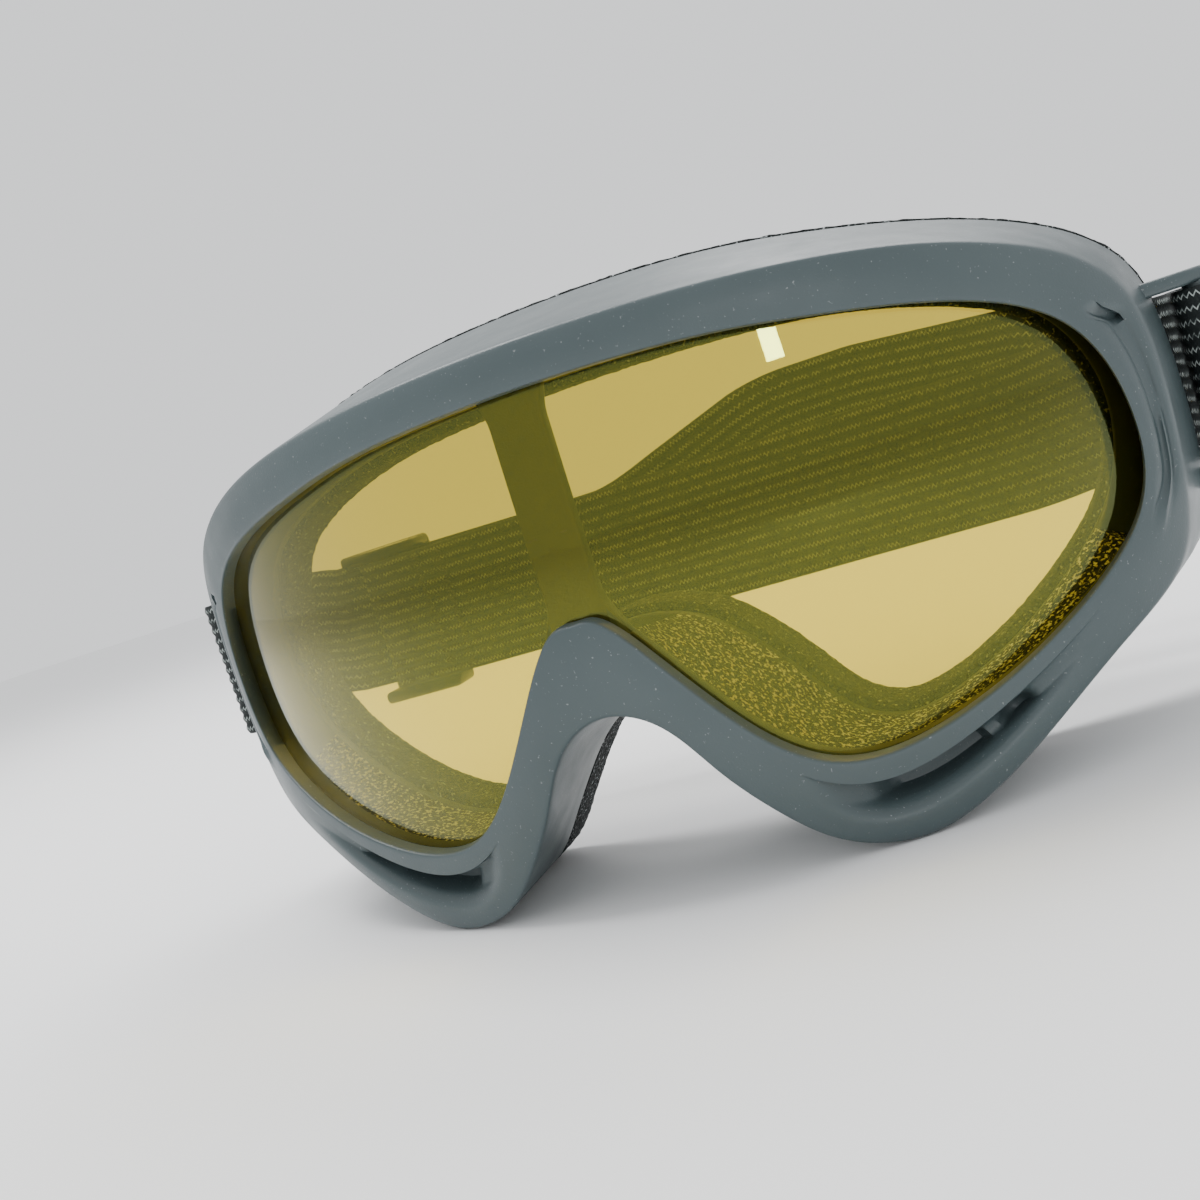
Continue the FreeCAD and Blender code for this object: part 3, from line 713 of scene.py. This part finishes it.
def rough_surface(obj, size, height):
    """Moves each point along its normal by a fixed noise, for the torn cells of cut foam."""
    mesh = obj.data
    places = np.empty(3 * len(mesh.vertices))
    normals = np.empty(3 * len(mesh.vertices))
    mesh.vertices.foreach_get("co", places)
    mesh.vertex_normals.foreach_get("vector", normals)
    places, normals = places.reshape(-1, 3), normals.reshape(-1, 3)
    swing = [noise.noise(Vector(p / size)) + 0.5 * noise.noise(Vector(p / (size * 0.45))) for p in places]
    places += normals * (np.array(swing) * height)[:, None]
    mesh.vertices.foreach_set("co", places.ravel())
    mesh.update()


def filled_in(columns, spacing):
    """A ring of columns with more between neighbours, about spacing mm apart."""
    dense = []
    for column, after in zip(columns, columns[1:] + columns[:1]):
        steps = max(1, round(float(np.linalg.norm(after - column, axis=1).mean()) / spacing))
        dense += [column + (after - column) * k / steps for k in range(steps)]
    return dense


class GOGGLES_OT_foam(bpy.types.Operator):
    """Builds the foam face seal and the foam behind each lobe's vent."""
    bl_idname = "goggles.foam"
    bl_label = "Foam"

    def execute(self, context):
        sizes = frame_sizes()
        _, _, rear, opening = frame_loops(round(sizes.steps * 1.5))
        outer = rear.copy()
        outer[:, 1] += 0.2 * smooth_step(outer[:, 1] / 6)
        inner = opening - outward(opening) * FOAM_LIP
        corners = [on_rear(inner, GLUE), on_rear(outer, GLUE),
                   on_rear(outer, FOAM_DEPTH), on_rear(inner, FOAM_DEPTH)]
        columns = rounded_profile(corners, [0.8, 0.4, 3.2, 3.2], 6)
        seal = tube_mesh("face_seal", filled_in(columns, 0.9))
        rough_surface(seal, 0.0009, 0.00016)
        dress(seal, "foam")
        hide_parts("face_foam")
        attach(seal, "goggles")
        for node, side in (("vent_foam_right", 1), ("vent_foam_left", -1)):
            build_vent_foam(node, side)
        return {"FINISHED"}


LOBE_SPAN = (6.5, 75.0)                  # of the foam in each lobe, in x


def build_vent_foam(node, side):
    """The foam that fills one lobe behind its vent, from the lens ring to the rear flange."""
    sizes = frame_sizes()
    lip, ridge, rear, opening = frame_loops(sizes.steps * 2)
    lobe = (lip[:, 0] > LOBE_SPAN[0]) & (lip[:, 0] < LOBE_SPAN[1]) & (lip[:, 1] < -6)
    lip, ridge, rear, opening = lip[lobe], ridge[lobe], rear[lobe], opening[lobe]
    across_ridge, across_rear = (edge - lip for edge in (ridge, rear))
    across_ridge /= np.linalg.norm(across_ridge, axis=1)[:, None]
    across_rear /= np.linalg.norm(across_rear, axis=1)[:, None]
    front, back = sizes.ring + 0.1, -FLANGE - FLANGE_CLEARANCE
    corners = [on_front(lip + 0.8 * across_ridge, front), on_front(ridge - 2.6 * across_ridge, front),
               on_rear(rear - 2.6 * across_rear, back), on_rear(opening, back)]
    grid = np.stack(filled_in(corners, 0.8), 1)
    grid[..., 0] *= side
    count, n = grid.shape[:2]
    faces = ring_faces(count, n) + [tuple(range(n)), tuple(range((count - 1) * n, count * n))]
    strip = add_mesh(node.replace("vent_foam", "vent_strip"), grid.reshape(-1, 3), faces)
    rough_surface(strip, 0.0009, 0.00012)
    # The vent foam takes the copy of the foam with stronger painted sparkle, for the light through the lens.
    dress(strip, "foam", "painted_backlit_foam")
    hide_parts(node)
    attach(strip, "goggles")


SECTION_POINTS = 200                     # round the strap's ribbed section


# Strap --------------------------------------------------------------------------------------------
STRAP_LEG_IN, STRAP_LEG_OUT, TURN_RADIUS = 93.55, 100.05, 3.25
INNER_RUN_Y, OUTER_RUN_Y, CENTRE_BAR_Y = 80.0, 86.2, 82.1
RUN_LEVEL, OUTER_TOP = -3.0, 9.0
OUTER_BULGE = 14.0                       # how far the outer strap's right half stands back
SLIDER_X, END_LOOP_RIGHT = -72.0, -53.7
RUN_JOIN = 78.0                          # in x, where the inner run meets the right bar's inner leg


def rounded_path(points, radii, step=1.2):
    """Points along straight runs joined by tangent arcs, in plan."""
    out = [np.array(points[0], float)]
    for i in range(1, len(points) - 1):
        before, corner, after = (np.array(points[j], float) for j in (i - 1, i, i + 1))
        way_in = (corner - before) / np.linalg.norm(corner - before)
        way_out = (after - corner) / np.linalg.norm(after - corner)
        turn = math.atan2(way_in[0] * way_out[1] - way_in[1] * way_out[0], float(way_in @ way_out))
        radius = radii[i - 1]
        start = corner - way_in * radius * math.tan(abs(turn) / 2)
        side = 1 if turn > 0 else -1
        centre = start + np.array([-way_in[1], way_in[0]]) * side * radius
        angle = math.atan2(*(start - centre)[::-1])
        count = max(4, round(abs(turn) * radius / step))
        for k in range(count + 1):
            at = angle + turn * k / count
            out.append(centre + radius * np.array([math.cos(at), math.sin(at)]))
    out.append(np.array(points[-1], float))
    return out


def strap_level(x):
    """Height of the outer strap's middle at x: it climbs behind the right half."""
    climb = smooth_step((x + 22) / 44) * smooth_step((STRAP_LEG_OUT - 6 - x) / 42)
    low = RUN_LEVEL + (BAR_LEVEL - RUN_LEVEL) * smooth_step((np.abs(x) - 82) / 14)
    return float(low + (OUTER_TOP - RUN_LEVEL) * climb)


def bar_turn(side):
    """The half turn round one side bar, in plan."""
    return [(side * BAR_X + TURN_RADIUS * math.cos(a), BAR_Y + TURN_RADIUS * math.sin(a))
            for a in np.linspace(0, -math.pi, 13)]


def outer_path():
    """The strap from its sewn tail, round both side bars, to the right bar's inner leg."""
    back = OUTER_RUN_Y + OUTER_BULGE
    turn_left, turn_right = bar_turn(-1), bar_turn(1)
    plan = [(-STRAP_LEG_OUT, BAR_Y), (-STRAP_LEG_OUT, OUTER_RUN_Y), (-14, OUTER_RUN_Y), (24, back),
            (STRAP_LEG_OUT - 26, back), (STRAP_LEG_OUT, back - 20), (STRAP_LEG_OUT, BAR_Y)]
    behind = rounded_path(plan, [12, 60, 60, 24, 24])
    tail = [(-STRAP_LEG_OUT + 1.7, 65.8), (-STRAP_LEG_OUT + 1.7, 63.8), (-STRAP_LEG_OUT + 2.6, 62.0),
            (-STRAP_LEG_IN - 0.5, 59.6)]
    leg = rounded_path([(STRAP_LEG_IN, BAR_Y), (STRAP_LEG_IN, INNER_RUN_Y), (RUN_JOIN, INNER_RUN_Y)], [12])
    plan = tail + turn_left + behind[1:-1] + turn_right + leg[1:]
    heights = []
    middle = len(tail) + len(turn_left)
    last = middle + len(behind) - 2
    for i, point in enumerate(plan):
        if middle <= i < last:
            heights.append(strap_level(point[0]))
        elif i >= last + len(turn_right):
            heights.append(inner_level(point[0]))
        else:
            heights.append(BAR_LEVEL)
    return [(p[0], p[1], z) for p, z in zip(plan, heights)]


def inner_level(x):
    """Height of the inner strap's middle at x."""
    return float(RUN_LEVEL + (BAR_LEVEL - RUN_LEVEL) * smooth_step((x - 60) / 30))


class NodeGroup:
    """A geometry node group, and short ways to add nodes and arithmetic to it."""

    def __init__(self, name, **inputs):
        self.tree = bpy.data.node_groups.new(name, "GeometryNodeTree")
        sockets = [("Geometry", "Geometry", "INPUT")]
        sockets += [(label.replace("_", " "), kind, "INPUT") for label, kind in inputs.items()]
        sockets.append(("Geometry", "Geometry", "OUTPUT"))
        for label, kind, way in sockets:
            self.tree.interface.new_socket(label, in_out=way, socket_type="NodeSocket" + kind)
        self.sizes = self.tree.nodes.new("NodeGroupInput").outputs
        self.results = self.tree.nodes.new("NodeGroupOutput").inputs

    def add(self, kind, settings=None, **sockets):
        """A new node's outputs; a socket takes a plain value or another node's output."""
        made = self.tree.nodes.new(kind)
        for key, value in (settings or {}).items():
            setattr(made, key, value)
        for key, value in sockets.items():
            self.feed(made.inputs[key.replace("_", " ")], value)
        return made.outputs

    def feed(self, socket, value):
        if isinstance(value, bpy.types.NodeSocket):
            self.tree.links.new(value, socket)
        else:
            socket.default_value = value

    def vector(self, *parts):
        made = self.tree.nodes.new("ShaderNodeCombineXYZ")
        for socket, part in zip(made.inputs, parts):
            self.feed(socket, part)
        return made.outputs[0]

    def calculate(self, operation, *values):
        made = self.tree.nodes.new("ShaderNodeMath")
        made.operation = operation
        for socket, value in zip(made.inputs, values):
            self.feed(socket, value)
        return made.outputs[0]

    def capture(self, geometry, label, value):
        """The geometry with value kept on it, and the kept value."""
        made = self.tree.nodes.new("GeometryNodeCaptureAttribute")
        made.capture_items.new("FLOAT", label)
        self.feed(made.inputs["Geometry"], geometry)
        self.feed(made.inputs[label], value)
        return made.outputs["Geometry"], made.outputs[label]

    def finish_with(self, geometry):
        """Ends the group in plain geometry with its material."""
        plain = self.add("GeometryNodeRealizeInstances", Geometry=geometry)[0]
        painted = self.add("GeometryNodeSetMaterial", Geometry=plain, Material=self.sizes["Material"])[0]
        self.feed(self.results[0], painted)
        return self.tree


def webbing_nodes():
    """Geometry nodes that sweep the ribbed section of an elastic along a curve on edge."""
    group = NodeGroup("webbing", Width="Float", Thickness="Float", Ribs="Float", Rib_height="Float",
                      Step="Float", Material="Material")
    size = group.sizes
    route = group.add("GeometryNodeResampleCurve", {"mode": "LENGTH"}, Curve=size["Geometry"],
                      Length=size["Step"])[0]
    route = group.add("GeometryNodeSetCurveNormal", {"mode": "Z_UP"}, Curve=route)[0]
    section = group.add("GeometryNodeCurvePrimitiveQuadrilateral", Height=size["Width"],
                        Width=size["Thickness"])["Curve"]
    section = group.add("GeometryNodeResampleCurve", {"mode": "COUNT"}, Count=SECTION_POINTS,
                        Curve=section)[0]
    place = group.add("GeometryNodeInputPosition")[0]
    through, across, _ = group.add("ShaderNodeSeparateXYZ", Vector=place)
    pitch = group.calculate("DIVIDE", size["Width"], size["Ribs"])
    phase = group.calculate("MULTIPLY", group.calculate("DIVIDE", across, pitch), 2 * math.pi)
    swell = group.calculate("MULTIPLY", group.calculate("COSINE", phase), size["Rib height"])
    lift = group.calculate("MULTIPLY", swell, group.calculate("SIGN", through))
    section = group.add("GeometryNodeSetPosition", Geometry=section, Offset=group.vector(lift))[0]
    length = group.add("GeometryNodeSplineParameter")["Length"]
    route, kept_along = group.capture(route, "along", length)
    section, kept_across = group.capture(section, "across", across)
    sweep = group.add("GeometryNodeCurveToMesh", Curve=route, Profile_Curve=section, Fill_Caps=True)[0]
    marked = group.add("GeometryNodeStoreNamedAttribute", {"data_type": "FLOAT2", "domain": "CORNER"},
                       Geometry=sweep, Name="UVMap", Value=group.vector(kept_along, kept_across))[0]
    return group.finish_with(group.add("GeometryNodeSetShadeSmooth", Geometry=marked)[0])


def nodes_modifier(obj, tree, **values):
    """Adds the tree to obj with its named inputs set."""
    values = {name.replace("_", " "): value for name, value in values.items()}
    mod = obj.modifiers.new("nodes", "NODES")
    mod.node_group = tree
    for item in tree.interface.items_tree:
        if item.in_out == "INPUT" and item.name in values:
            mod[item.identifier] = values[item.name]


def evaluated_mesh(guide):
    """The plain mesh that a guide curve's nodes give; the guide is removed."""
    bpy.context.view_layer.update()
    mesh = bpy.data.meshes.new_from_object(guide.evaluated_get(bpy.context.evaluated_depsgraph_get()))
    bpy.data.objects.remove(guide)
    return mesh


def place_mesh(name, mesh):
    mesh.name = name
    obj = bpy.data.objects.new(name, mesh)
    bpy.context.collection.objects.link(obj)
    return obj


def webbing(name, path):
    """A stretch of strap along a path of points in mm."""
    sizes = strap_sizes()
    curve = bpy.data.curves.new(name + "_path", "CURVE")
    curve.dimensions = "3D"
    spline = curve.splines.new("POLY")
    spline.points.add(len(path) - 1)
    for point, place in zip(spline.points, path):
        point.co = (*(np.array(place) * MM + HOME), 1)
    guide = bpy.data.objects.new(name + "_path", curve)
    bpy.context.collection.objects.link(guide)
    tree = bpy.data.node_groups.get("webbing") or webbing_nodes()
    nodes_modifier(guide, tree, Width=sizes.width * MM, Thickness=sizes.thickness * MM,
                   Ribs=float(sizes.ribs), Rib_height=sizes.rib_height * MM, Step=1.3 * MM,
                   Material=material_named("strap_webbing"))
    obj = place_mesh(name, evaluated_mesh(guide))
    face_outwards(obj)
    dress(obj, "strap_webbing")
    return obj


class GOGGLES_OT_strap(bpy.types.Operator):
    """Builds the elastic strap in the runs that move apart."""
    bl_idname = "goggles.strap"
    bl_label = "Strap"

    def execute(self, context):
        outer = webbing("strap_round_bars", outer_path())
        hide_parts("strap_left_loop", "strap_side_left", "strap_outer_run", "strap_side_right_outer",
                    "strap_right_turn", "strap_side_right_inner")
        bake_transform(outer)
        run = webbing("strap_inner_tape", [(x, INNER_RUN_Y, inner_level(x))
                                           for x in np.linspace(RUN_JOIN, END_LOOP_RIGHT, 60)])
        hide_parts("strap_inner_run")
        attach(run, "strap_back")
        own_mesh(run)
        loop = webbing("strap_sewn_end", end_loop_path())
        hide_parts("strap_end_loop")
        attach(loop, "strap_slider")
        return {"FINISHED"}


def end_loop_path():
    """The strap's end: along the inner run, round the slider's middle bar and back beside itself."""
    half = CENTRE_BAR_Y - INNER_RUN_Y
    nose = [(SLIDER_X - 2.1 - half * math.sin(a), CENTRE_BAR_Y - half * math.cos(a))
            for a in np.linspace(0, math.pi, 13)]
    back = INNER_RUN_Y + 1.7
    plan = [(END_LOOP_RIGHT, INNER_RUN_Y), (SLIDER_X, INNER_RUN_Y)] + nose
    plan += [(SLIDER_X + 2, CENTRE_BAR_Y + half), (SLIDER_X + 5, CENTRE_BAR_Y + half - 1.4),
             (SLIDER_X + 7, back), (END_LOOP_RIGHT, back)]
    return [(x, y, RUN_LEVEL) for x, y in plan]


# Slider and stitching -----------------------------------------------------------------------------
class GOGGLES_OT_slider(bpy.types.Operator):
    """Builds the moulded slider."""
    bl_idname = "goggles.slider"
    bl_label = "Slider"

    def execute(self, context):
        low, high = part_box("slider")
        low, high = ((np.array(corner) - HOME) / MM for corner in (low, high))
        rail, bar, side, half_centre = 2.6, 2.2, 3.6, 1.7
        pieces = [solid_box("rail", (low[0], low[1], z), (high[0], high[1], z + rail), 1.0)
                  for z in (low[2], high[2] - rail)]
        pieces += [solid_box("bar", (x, high[1] - bar, low[2] + 0.6), (x + side, high[1], high[2] - 0.6), 0.8)
                   for x in (low[0], high[0] - side)]
        pieces.append(solid_box("bar", (SLIDER_X - half_centre, low[1], low[2] + 1.2),
                                (SLIDER_X + half_centre, low[1] + bar, high[2] - 1.2), 0.7))
        slider = join("slider_ladder", pieces)
        dress(slider, "slider_plastic")
        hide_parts("slider")
        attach(slider, "strap_slider")
        return {"FINISHED"}


def stitch_nodes():
    """Geometry nodes that lay short stitches in a zigzag along a line."""
    group = NodeGroup("stitches", Pitch="Float", Length="Float", Thread="Float", Material="Material")
    size = group.sizes
    points = group.add("GeometryNodeCurveToPoints", {"mode": "LENGTH"}, Curve=size["Geometry"],
                       Length=size["Pitch"])["Points"]
    stitch = group.add("GeometryNodeMeshUVSphere", Segments=8, Rings=6, Radius=0.5)["Mesh"]
    index = group.add("GeometryNodeInputIndex")[0]
    slant = group.calculate("SUBTRACT", group.calculate("MODULO", index, 2.0), 0.5)
    return group.finish_with(group.add(
        "GeometryNodeInstanceOnPoints", Points=points, Instance=stitch, Rotation=group.vector(0.0, slant),
        Scale=group.vector(size["Length"], size["Thread"], size["Thread"]))[0])


def stitch_rows(name, node, body):
    """Two rows of stitches where the CAD holds a bar tack."""
    low, high = (np.array(corner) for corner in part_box(node))
    wide_way = 0 if high[0] - low[0] > high[1] - low[1] else 1
    middle = (low + high) / 2
    across = low[wide_way] + (high[wide_way] - low[wide_way]) * np.array([0.14, 0.86])
    curve = bpy.data.curves.new(name, "CURVE")
    curve.dimensions = "3D"
    for place in across:
        spline = curve.splines.new("POLY")
        spline.points.add(1)
        for point, z in zip(spline.points, (low[2], high[2])):
            at = middle.copy()
            at[wide_way], at[2] = place, z
            point.co = (*at, 1)
    guide = bpy.data.objects.new(name, curve)
    bpy.context.collection.objects.link(guide)
    tree = bpy.data.node_groups.get("stitches") or stitch_nodes()
    nodes_modifier(guide, tree, Pitch=0.0011, Length=0.0019, Thread=0.0005, Material=material_named("thread"))
    mesh = evaluated_mesh(guide)
    if wide_way == 1:
        turned = np.empty(len(mesh.vertices) * 3)
        mesh.vertices.foreach_get("co", turned)
        turned = turned.reshape(-1, 3)
        flat = turned - middle
        turned[:, 1] = middle[1] + flat[:, 0] + flat[:, 1]
        turned[:, 0] = middle[0]
        mesh.vertices.foreach_set("co", turned.ravel())
    obj = place_mesh(name, mesh)
    dress(obj, "thread")
    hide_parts(node)
    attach(obj, body)


class GOGGLES_OT_stitches(bpy.types.Operator):
    """Sews the strap's two ends."""
    bl_idname = "goggles.stitches"
    bl_label = "Stitches"

    def execute(self, context):
        stitch_rows("loop_stitches", "left_bar_tack", "goggles")
        stitch_rows("slider_stitches", "slider_bar_tack", "strap_slider")
        return {"FINISHED"}


# Stage --------------------------------------------------------------------------------------------
class GOGGLES_OT_stage(bpy.types.Operator):
    """Makes the camera, the floor and soft studio light."""
    bl_idname = "goggles.stage"
    bl_label = "Stage"

    def execute(self, context):
        right, up = (0.8966, 0.3137, -0.3125), (0.2602, 0.1976, 0.9451)
        back = (0.3582, -0.9287, 0.0956)
        turn = Matrix((right, up, back)).transposed().normalized()
        place = np.array([77.949, -187.04, 16.935]) * MM + HOME
        data = bpy.data.cameras.new("camera")
        data.lens, data.sensor_width, data.clip_start = 41.71, 36.0, 0.01
        camera = bpy.data.objects.new("camera", data)
        camera.rotation_euler = turn.to_euler()
        camera.location = place
        context.collection.objects.link(camera)
        context.scene.camera = camera
        bpy.ops.mesh.primitive_plane_add(size=6, location=(0, 0, 0))
        floor = context.object
        floor.name = "floor"
        paint = Finish("floor", grey(0.9), 0.8)
        floor.data.materials.append(paint.material)
        self.light("key", (-0.35, 0.1, 0.95), (0.0, 0.0, 0.05), 0.5, 9.0)
        self.light("window", (0.378, -0.641, 0.192), (0.039, -0.04, 0.076), 0.045, 0.35)
        self.light("back", (0.1, 0.6, 0.7), (0.0, 0.0, 0.05), 0.5, 3.0)
        world = context.scene.world or bpy.data.worlds.new("world")
        context.scene.world = world
        world.use_nodes = True
        world.node_tree.nodes["Background"].inputs["Color"].default_value = (0.97, 0.985, 1.0, 1)
        world.node_tree.nodes["Background"].inputs["Strength"].default_value = 1.15
        return {"FINISHED"}

    def light(self, name, place, target, size, watts):
        """A square lamp at place, turned to target."""
        data = bpy.data.lights.new(name, "AREA")
        data.size, data.energy = size, watts
        lamp = bpy.data.objects.new(name, data)
        lamp.location = place
        lamp.rotation_euler = (Vector(target) - Vector(place)).to_track_quat("-Z", "Y").to_euler()
        bpy.context.collection.objects.link(lamp)


class GOGGLES_PT_panel(bpy.types.Panel):
    """Lists the goggles' sizes and the steps that build them."""
    bl_label = "Goggles"
    bl_idname = "GOGGLES_PT_panel"
    bl_space_type = "VIEW_3D"
    bl_region_type = "UI"
    bl_category = "Goggles"

    def draw(self, context):
        for group in (context.scene.goggle_frame, context.scene.goggle_strap, context.scene.goggle_colours):
            for name in group.__annotations__:
                self.layout.prop(group, name)
        for step in STEPS:
            self.layout.operator(step.bl_idname)


STEPS = (GOGGLES_OT_stage, GOGGLES_OT_frame, GOGGLES_OT_lens, GOGGLES_OT_foam, GOGGLES_OT_strap,
         GOGGLES_OT_slider, GOGGLES_OT_stitches)
CLASSES = (FrameSizes, StrapSizes, LookColours) + STEPS + (GOGGLES_PT_panel,)


def register():
    for item in CLASSES:
        bpy.utils.register_class(item)
    bpy.types.Scene.goggle_frame = bpy.props.PointerProperty(type=FrameSizes)
    bpy.types.Scene.goggle_strap = bpy.props.PointerProperty(type=StrapSizes)
    bpy.types.Scene.goggle_colours = bpy.props.PointerProperty(type=LookColours)


def unregister():
    del bpy.types.Scene.goggle_colours
    del bpy.types.Scene.goggle_strap
    del bpy.types.Scene.goggle_frame
    for item in reversed(CLASSES):
        bpy.utils.unregister_class(item)


def main():
    register()
    bpy.ops.goggles.stage()
    bpy.ops.goggles.frame()
    bpy.ops.goggles.lens()
    bpy.ops.goggles.foam()
    bpy.ops.goggles.strap()
    bpy.ops.goggles.slider()
    bpy.ops.goggles.stitches()


if __name__ == "__main__":
    main()
